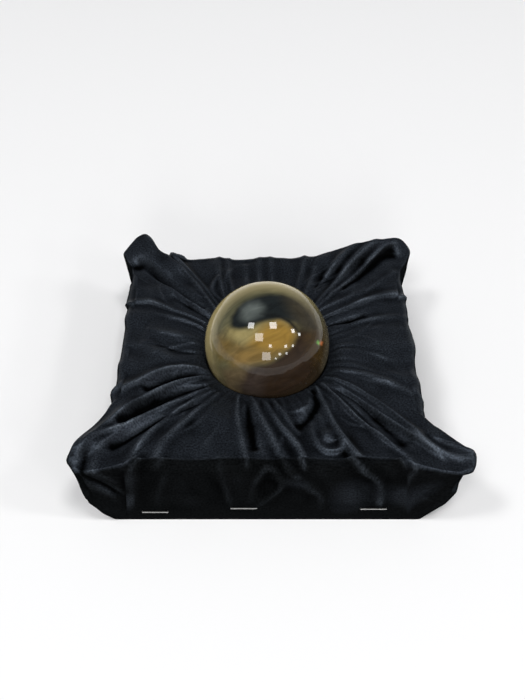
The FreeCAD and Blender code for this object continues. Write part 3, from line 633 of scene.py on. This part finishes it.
def satinMaterial():
    look = satinLook
    material, tree, shader = nodeMaterial("blackSatin")
    nodes = tree.nodes
    uv = nodes.new("ShaderNodeUVMap")
    uv.uv_map = "weave"
    warp = nodes.new("ShaderNodeTexWave")
    warp.wave_type, warp.bands_direction = "BANDS", "X"
    weft = nodes.new("ShaderNodeTexWave")
    weft.wave_type, weft.bands_direction = "BANDS", "Y"
    for threads in (warp, weft):
        threads.inputs["Scale"].default_value = look["threads"] * 0.5
        threads.inputs["Distortion"].default_value = 1.2
        threads.inputs["Detail"].default_value = 2.0
        link(tree, uv.outputs["UV"], threads.inputs["Vector"])
    both = nodes.new("ShaderNodeMix")
    both.data_type = "FLOAT"
    both.inputs["Factor"].default_value = 0.35
    link(tree, warp.outputs["Fac"], both.inputs["A"])
    link(tree, weft.outputs["Fac"], both.inputs["B"])
    bump = nodes.new("ShaderNodeBump")
    bump.inputs["Strength"].default_value = look["bump"]
    bump.inputs["Distance"].default_value = 0.0002
    link(tree, both.outputs["Result"], bump.inputs["Height"])
    link(tree, bump.outputs["Normal"], shader.inputs["Normal"])
    # painted light and shade: the cloth is painted palest where it faces up, with painted highlights along
    # the crests and painted shade down in the folds
    tone = nodes.new("ShaderNodeAttribute")
    tone.attribute_name = "tone"
    split = nodes.new("ShaderNodeSeparateColor")
    link(tree, tone.outputs["Color"], split.inputs["Color"])
    facing = nodes.new("ShaderNodeValToRGB")
    facing.color_ramp.elements[0].position = 0.25
    facing.color_ramp.elements[1].position = 0.95
    link(tree, split.outputs["Blue"], facing.inputs["Fac"])
    body = mixColour(tree, facing.outputs["Color"], look["side"], look["top"])
    body = mixColour(tree, split.outputs["Green"], body, look["deep"])
    body = mixColour(tree, split.outputs["Red"], body, look["crest"])
    speckle = mapRange(tree, noise(tree, uv.outputs["UV"], 115.0, 3.0), 0.32, 0.7, *look["grain"])
    link(tree, brighter(tree, body, speckle), shader.inputs["Base Color"])
    sheen = mapRange(tree, split.outputs["Blue"], 0.55, 0.95, 0.0, look["metal"])
    link(tree, sheen, shader.inputs["Metallic"])
    shader.inputs["Roughness"].default_value = look["roughness"]
    shader.inputs["Specular IOR Level"].default_value = look["specular"]
    shader.inputs["Anisotropic"].default_value = look["anisotropy"]
    return material


photoView = {"height": 44.58, "lookAt": (-2.32, 42.23, 0.0), "distance": 532.4, "lens": 47.34}

# rim is the colour of a painted glow near the ball's outline, strongest where the surface faces the way
# given after it
ballLook = {
    "olive": (0.0831, 0.0791, 0.0421), "rim": (0.4565, 0.3724, 0.1642),
    "glowFrom": 0.4, "glowTo": 0.8, "glowWay": (-0.5, 0.4, 0.77),
    "streaks": (0.78, 1.22), "shine": 1.36,
}

# The swirl in the ball, on its disc as the photograph shows it: x right, y up, 1 at the outline. Each mark
# lies over the ones before it and fades over its soft width. The left edge mark is a painted glow, and the
# glint marks are painted glints of light.
ballMarks = (
    {"name": "olive shade", "soft": 0.16, "colour": (0.1265, 0.081, 0.0194), "outline":
     ((-0.78, 0.1), (-0.55, 0.14), (-0.5, -0.02), (-0.58, -0.18), (-0.75, -0.24), (-0.82, -0.1))},
    {"name": "pale gold", "soft": 0.12, "colour": (0.2118, 0.1735, 0.0725), "outline":
     ((-0.62, 0.22), (-0.3, 0.27), (0.0, 0.35), (-0.02, 0.05), (-0.2, -0.04), (-0.42, 0.0),
      (-0.62, 0.1))},
    {"name": "deep gold", "soft": 0.12, "colour": (0.2036, 0.1218, 0.0249), "outline":
     ((-0.04, 0.3), (0.2, 0.38), (0.42, 0.26), (0.5, 0.08), (0.38, -0.08), (0.16, -0.16),
      (-0.16, -0.14), (-0.3, -0.04))},
    {"name": "honey", "soft": 0.12, "colour": (0.1442, 0.0911, 0.0261), "outline":
     ((-0.5, -0.04), (-0.2, -0.06), (0.12, -0.12), (0.06, -0.28), (-0.2, -0.35), (-0.55, -0.38),
      (-0.62, -0.2))},
    {"name": "low olive", "soft": 0.1, "colour": (0.097, 0.0709, 0.0371), "outline":
     ((-0.74, -0.42), (-0.62, -0.4), (-0.2, -0.37), (-0.25, -0.6), (-0.3, -1.0), (-0.64, -0.9))},
    {"name": "umber", "soft": 0.05, "colour": (0.0226, 0.0136, 0.0079), "outline":
     ((-0.3, -0.43), (-0.02, -0.34), (0.1, -0.27), (0.28, -0.16), (0.44, -0.03), (0.5, 0.1),
      (0.54, 0.22), (0.8, 0.2), (1.1, -0.2), (1.0, -0.7), (0.4, -1.2), (-0.1, -1.2), (-0.4, -0.8))},
    {"name": "violet shade", "soft": 0.12, "colour": (0.0337, 0.024, 0.0187), "outline":
     ((-0.3, -0.46), (-0.12, -0.4), (-0.04, -0.56), (-0.08, -0.9), (-0.35, -0.9), (-0.48, -0.7))},
    {"name": "right olive", "soft": 0.18, "colour": (0.0335, 0.0191, 0.0044), "outline":
     ((0.5, 0.6), (0.74, 0.5), (0.98, 0.16), (0.98, -0.3), (0.76, -0.34), (0.66, 0.0), (0.56, 0.26))},
    {"name": "smoke", "soft": 0.05, "colour": (0.0087, 0.0112, 0.0118), "outline":
     ((-0.58, 0.3), (-0.585, 0.44), (-0.5, 0.57), (-0.36, 0.675), (-0.18, 0.745), (0.04, 0.79),
      (0.25, 0.79), (0.43, 0.72), (0.56, 0.58), (0.6, 0.44), (0.52, 0.34), (0.4, 0.35), (0.3, 0.385),
      (0.15, 0.4), (0.0, 0.37), (-0.15, 0.32), (-0.3, 0.26), (-0.46, 0.235), (-0.55, 0.25))},
    {"name": "smoke tail", "soft": 0.14, "colour": (0.024, 0.023, 0.019), "outline":
     ((0.45, 0.68), (0.62, 0.58), (0.74, 0.44), (0.74, 0.26), (0.58, 0.24), (0.46, 0.34))},
    {"name": "smoke end", "soft": 0.2, "colour": (0.0346, 0.0286, 0.0172), "outline":
     ((0.3, 0.74), (0.5, 0.68), (0.66, 0.54), (0.72, 0.36), (0.62, 0.3), (0.5, 0.42), (0.38, 0.56))},
    {"name": "cloud", "soft": 0.11, "colour": (0.0903, 0.1041, 0.0971), "outline":
     ((-0.42, 0.42), (-0.4, 0.55), (-0.28, 0.63), (-0.14, 0.64), (-0.06, 0.57), (-0.1, 0.48),
      (-0.2, 0.42), (-0.32, 0.38))},
    {"name": "dark curl", "soft": 0.035, "colour": (0.0065, 0.0075, 0.0075), "outline":
     ((-0.1, 0.47), (0.06, 0.485), (0.22, 0.455), (0.38, 0.375), (0.49, 0.25), (0.53, 0.16),
      (0.48, 0.19), (0.38, 0.3), (0.22, 0.405), (0.04, 0.43))},
    # painted glow along the left and lower left edge
    {"name": "left edge", "soft": 0.08, "colour": (0.17, 0.14, 0.068), "outline":
     ((-1.1, 0.5), (-0.9, 0.45), (-0.9, 0.1), (-0.86, -0.3), (-0.72, -0.62), (-0.6, -0.85),
      (-0.9, -1.0), (-1.2, -0.4))},
    {"name": "right edge", "soft": 0.05, "colour": (0.07, 0.058, 0.037), "outline":
     ((1.1, 0.5), (0.9, 0.42), (0.94, 0.1), (0.93, -0.2), (0.85, -0.45), (1.0, -0.6), (1.2, -0.2))},
    # painted glints: a small rainbow glint at the right and thin arcs of reflected light near the left and
    # right edges
    {"name": "green glint", "soft": 0.02, "colour": (0.12, 0.3, 0.06), "outline":
     ((0.8, 0.06), (0.85, 0.02), (0.82, -0.02), (0.78, 0.02))},
    {"name": "red glint", "soft": 0.02, "colour": (0.55, 0.16, 0.05), "outline":
     ((0.85, 0.05), (0.89, 0.02), (0.87, -0.03), (0.83, 0.0))},
    {"name": "left glint", "soft": 0.018, "colour": (0.5, 0.45, 0.34), "outline":
     ((-0.62, 0.745), (-0.74, 0.61), (-0.84, 0.42), (-0.89, 0.22), (-0.915, 0.02), (-0.885, -0.12),
      (-0.9, 0.02), (-0.875, 0.22), (-0.825, 0.41), (-0.725, 0.6))},
    {"name": "right glint", "soft": 0.03, "colour": (0.085, 0.075, 0.05), "outline":
     ((0.66, 0.66), (0.78, 0.45), (0.845, 0.22), (0.86, 0.04), (0.83, -0.08), (0.845, 0.04),
      (0.83, 0.22), (0.765, 0.44))},
)


def softShape(p, q, outline, soft):
    # 1 well inside the outline, 0 well outside
    pts = np.array(outline)
    gap = np.full(p.shape, 1e9)
    crossings = np.zeros(p.shape, bool)
    for a, b in zip(pts, np.roll(pts, -1, axis=0)):
        d = b - a
        t = np.clip(((p - a[0]) * d[0] + (q - a[1]) * d[1]) / (d @ d), 0, 1)
        gap = np.minimum(gap, np.hypot(p - a[0] - t * d[0], q - a[1] - t * d[1]))
        spans = (a[1] > q) != (b[1] > q)
        with np.errstate(divide="ignore", invalid="ignore"):
            crossings ^= spans & (p < (b[0] - a[0]) * (q - a[1]) / (b[1] - a[1]) + a[0])
    return smoothStep(np.where(crossings, gap, -gap), -soft, soft)


def photoAxes():
    # right, up and backwards to the camera; then the camera's place and its distance from the ball
    e = math.radians(photoView["height"])
    up, back = np.array((0, math.sin(e), math.cos(e))), np.array((0, -math.cos(e), math.sin(e)))
    eye = np.array(photoView["lookAt"]) + photoView["distance"] * back
    away = eye - np.array((0, 0, ballSizes["middleHeight"]))
    far = np.linalg.norm(away)
    back = away / far
    right = np.cross(up, back) / np.linalg.norm(np.cross(up, back))
    return right, np.cross(back, right), back, eye, far


def discPlace(points):
    # where each place of the ball shows on its disc, and if it is on the near half; the far one mirrors it
    right, up, back, _, far = photoAxes()
    d = points / np.linalg.norm(points, axis=1)[:, None]
    x, y, z = d @ right, d @ up, d @ back
    radius = ballSizes["radius"]
    rim = math.acos(radius / far)
    scale = math.sqrt(1 - (radius / far) ** 2)
    angle = np.arccos(np.clip(z, -1, 1))
    seen = np.sin(angle) * far / (far - radius * np.cos(angle)) * scale
    reach = np.where(angle < rim, seen, 1 - (angle - rim) / (math.pi - rim))
    flat = np.maximum(np.hypot(x, y), 1e-9)
    return reach * x / flat, reach * y / flat, angle < rim


def deselect():
    bpy.ops.object.select_all(action="DESELECT")


def settle(obj):
    # the place goes into the mesh
    deselect()
    obj.select_set(True)
    bpy.context.view_layer.objects.active = obj
    bpy.ops.object.transform_apply(location=True, rotation=True, scale=True)
    deselect()


def makeBall():
    s = ballSizes
    deselect()
    bpy.ops.mesh.primitive_uv_sphere_add(segments=s["segments"], ring_count=s["rings"],
                                         radius=s["radius"] * mm, location=(0, 0, s["middleHeight"] * mm))
    ball = bpy.context.active_object
    ball.name = "swirledBall"
    settle(ball)
    mesh = ball.data
    for polygon in mesh.polygons:
        polygon.use_smooth = True
    points = np.empty(len(mesh.vertices) * 3)
    mesh.vertices.foreach_get("co", points)
    p, q, near = discPlace(points.reshape(-1, 3) / mm - np.array((0, 0, s["middleHeight"])))
    stir = softWrinkles(p * 100, q * 100, 3, 30, 90, 8) * 0.01
    colour = np.tile(np.array(ballLook["olive"]), (len(p), 1))
    for mark in ballMarks:
        share = softShape(p + stir, q - stir * 0.7, mark["outline"], mark["soft"])[:, None]
        # painted glints only on the near half
        if "glint" in mark["name"]:
            share = share * near[:, None]
        colour = colour + (np.array(mark["colour"]) - colour) * share
    # the swirl's colours go into the attribute together with the painted glow and glints
    layer = mesh.color_attributes.new("swirl", "FLOAT_COLOR", "POINT")
    colours = np.column_stack([colour, np.ones(len(p))])
    layer.data.foreach_set("color", colours.astype(np.float32).ravel())
    return ball


def ballMaterial():
    # a swirl with fine streaks under a clear polished skin, and a painted glow: paler towards the rim where
    # it turns away and up
    look = ballLook
    material, tree, shader = nodeMaterial("amberSwirl")
    nodes = tree.nodes
    swirl = nodes.new("ShaderNodeAttribute")
    swirl.attribute_name = "swirl"
    coords = nodes.new("ShaderNodeTexCoord")
    stretch = nodes.new("ShaderNodeMapping")
    stretch.vector_type = "TEXTURE"
    stretch.inputs["Rotation"].default_value = (0.0, -0.3, 0.3)
    stretch.inputs["Scale"].default_value = (2.8, 0.62, 0.62)
    link(tree, coords.outputs["Object"], stretch.inputs["Vector"])
    streaks = noise(tree, stretch.outputs["Vector"], 150.0, 5.0, 1.0)
    strength = mapRange(tree, streaks, 0.35, 0.65, *look["streaks"])
    grained = brighter(tree, swirl.outputs["Color"], strength)
    # painted glow towards the rim, on the side that faces the given way
    turned = nodes.new("ShaderNodeLayerWeight")
    turned.inputs["Blend"].default_value = 0.5
    rim = mapRange(tree, turned.outputs["Facing"], look["glowFrom"], look["glowTo"])
    lit = nodes.new("ShaderNodeVectorMath")
    lit.operation = "DOT_PRODUCT"
    lit.inputs[1].default_value = look["glowWay"]
    link(tree, coords.outputs["Normal"], lit.inputs[0])
    high = mapRange(tree, lit.outputs["Value"], 0.0, 0.75, 0.04, 1.0)
    both = nodes.new("ShaderNodeMath")
    both.operation = "MULTIPLY"
    link(tree, rim, both.inputs[0])
    link(tree, high, both.inputs[1])
    body = mixColour(tree, both.outputs["Value"], grained, look["rim"])
    link(tree, body, shader.inputs["Base Color"])
    shader.inputs["Roughness"].default_value = 0.6
    shader.inputs["Specular IOR Level"].default_value = 0.0
    shader.inputs["Coat Weight"].default_value = 1.0
    shader.inputs["Coat Roughness"].default_value = 0.0
    shader.inputs["Coat IOR"].default_value = look["shine"]
    return material


def mottled(tree, value, low, high, dark, light):
    ramp = tree.nodes.new("ShaderNodeValToRGB")
    for element, position, colour in zip(ramp.color_ramp.elements, (low, high), (dark, light)):
        element.position, element.color = position, (*colour, 1)
    link(tree, value, ramp.inputs["Fac"])
    return ramp.outputs["Color"]


def fibreMaterial(name, dark, light, scale, bumpHeight):
    # board, wadding and paper: mottled colour with a fibrous surface
    material, tree, shader = nodeMaterial(name)
    place = tree.nodes.new("ShaderNodeTexCoord").outputs["Object"]
    colour = mottled(tree, noise(tree, place, scale, 6.0), 0.3, 0.7, dark, light)
    link(tree, colour, shader.inputs["Base Color"])
    bump = tree.nodes.new("ShaderNodeBump")
    bump.inputs["Strength"].default_value = 0.35
    bump.inputs["Distance"].default_value = bumpHeight
    link(tree, noise(tree, place, scale * 9, 3.0), bump.inputs["Height"])
    link(tree, bump.outputs["Normal"], shader.inputs["Normal"])
    shader.inputs["Roughness"].default_value = 0.9
    return material


def stapleMaterial():
    material, tree, shader = nodeMaterial("stapleWire")
    place = tree.nodes.new("ShaderNodeTexCoord").outputs["Object"]
    colour = mottled(tree, noise(tree, place, 900.0, 2.0), 0.0, 1.0, (0.3, 0.3, 0.29), (0.55, 0.55, 0.54))
    link(tree, colour, shader.inputs["Base Color"])
    shader.inputs["Metallic"].default_value = 1.0
    shader.inputs["Roughness"].default_value = 0.28
    return material


def setMaterial(obj, material):
    obj.data.materials.clear()
    obj.data.materials.append(material)


print("satin sheet")
satin = makeSatin()
setMaterial(satin, satinMaterial())
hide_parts("satin_cover")
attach(satin, "base")

print("ball")
ball = makeBall()
setMaterial(ball, ballMaterial())
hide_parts("ball")
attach(ball, "ball")

print("box, foam, tape and staples")
board = fibreMaterial("greyBoard", (0.2, 0.17, 0.13), (0.36, 0.31, 0.25), 220.0, 0.0002)
wadding = fibreMaterial("softWadding", (0.48, 0.48, 0.45), (0.66, 0.66, 0.63), 160.0, 0.0006)
paper = fibreMaterial("kraftPaper", (0.36, 0.25, 0.14), (0.52, 0.38, 0.22), 300.0, 0.0001)
wire = stapleMaterial()
foam = makeFoam(satin)
setMaterial(foam, wadding)
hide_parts("foam_pad")
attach(foam, "base")
for obj in list(bpy.data.objects):
    if "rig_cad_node" not in obj:
        continue
    if obj.name.endswith("_board"):
        setMaterial(obj, board)
    elif obj.name.startswith("corner_tape"):
        setMaterial(obj, paper)
    elif obj.name.startswith("staple"):
        setMaterial(obj, wire)

# Each lamp: where its image shows on the ball's disc, how wide it looks from the ball (degrees), and how
# bright it is
lampSetup = {
    "distance": 4.0,
    "panels": ((-0.255, 0.287, 10.5, 23.0), (0.098, 0.29, 12.0, 23.0), (-0.127, 0.1, 14.0, 14.0),
               (-0.012, -0.205, 14.5, 11.0), (0.415, 0.2, 6.0, 28.0), (0.515, 0.146, 4.5, 28.0),
               (0.053, -0.04, 5.0, 24.0), (0.298, -0.042, 5.0, 24.0), (0.411, -0.038, 4.0, 24.0),
               (0.203, -0.172, 4.0, 22.0), (0.312, -0.158, 3.5, 22.0), (0.14, -0.243, 3.0, 22.0)),
}


def mirrored(p, q):
    # the way that the photograph's camera sees in the ball at this place of its disc
    right, up, back, eye, far = photoAxes()
    radius = ballSizes["radius"]
    wide = radius / math.sqrt(1 - (radius / far) ** 2)
    ray = (right * p + up * q) * wide - back * far
    ray /= np.linalg.norm(ray)
    toBall = far * (-back @ ray)
    reach = toBall - math.sqrt(toBall**2 - far**2 + radius**2)
    normal = (eye + ray * reach - np.array((0, 0, ballSizes["middleHeight"]))) / radius
    return Vector(ray - 2 * (ray @ normal) * normal).normalized()


def placeLamps():
    for number, (p, q, degrees, radiance) in enumerate(lampSetup["panels"]):
        way = mirrored(p, q)
        across = (mirrored(p + 0.01, q) - mirrored(p - 0.01, q)).normalized()
        across = (across - way * across.dot(way)).normalized()
        side = 2 * lampSetup["distance"] * math.tan(math.radians(degrees / 2))
        data = bpy.data.lights.new(f"ceilingPanel{number}", "AREA")
        data.shape, data.size = "SQUARE", side
        data.energy = radiance * math.pi * side * side
        lamp = bpy.data.objects.new(data.name, data)
        lamp.location = Vector((0, 0, ballSizes["middleHeight"] * mm)) + way * lampSetup["distance"]
        lamp.rotation_euler = Matrix((across, way.cross(across), way)).transposed().to_euler()
        scene.collection.objects.link(lamp)


def makeRoom():
    deselect()
    bpy.ops.mesh.primitive_plane_add(size=16.0, location=(0, 0, 0))
    floor = bpy.context.active_object
    floor.name = "paleFloor"
    material, tree, shader = nodeMaterial("paleFloorPaint")
    shader.inputs["Base Color"].default_value = (0.84, 0.84, 0.84, 1)
    shader.inputs["Roughness"].default_value = 0.9
    shader.inputs["Specular IOR Level"].default_value = 0.0
    setMaterial(floor, material)
    # pale walls low down, a darker ceiling above
    world = bpy.data.worlds.new("paleRoom")
    scene.world = world
    world.use_nodes = True
    tree = world.node_tree
    nodes = tree.nodes
    coords = nodes.new("ShaderNodeTexCoord")
    split = nodes.new("ShaderNodeSeparateXYZ")
    ramp = nodes.new("ShaderNodeValToRGB")
    ramp.color_ramp.elements[0].position, ramp.color_ramp.elements[0].color = 0.02, (0.5, 0.5, 0.5, 1)
    ramp.color_ramp.elements[1].position, ramp.color_ramp.elements[1].color = 0.5, (0.13, 0.13, 0.14, 1)
    link(tree, coords.outputs["Generated"], split.inputs["Vector"])
    link(tree, split.outputs["Z"], ramp.inputs["Fac"])
    link(tree, ramp.outputs["Color"], nodes["Background"].inputs["Color"])


print("lights, floor and camera")
placeLamps()
makeRoom()
elevation = math.radians(photoView["height"])
camera = bpy.data.objects.new("photoCamera", bpy.data.cameras.new("photoCamera"))
camera.data.lens = photoView["lens"]
camera.data.sensor_width = 36.0
camera.data.clip_start, camera.data.clip_end = 0.01, 20.0
camera.location = Vector(photoAxes()[3]) * mm
camera.rotation_euler = (math.radians(90) - elevation, 0, 0)
scene.collection.objects.link(camera)
scene.camera = camera
scene.view_settings.view_transform = "Standard"

print("done")
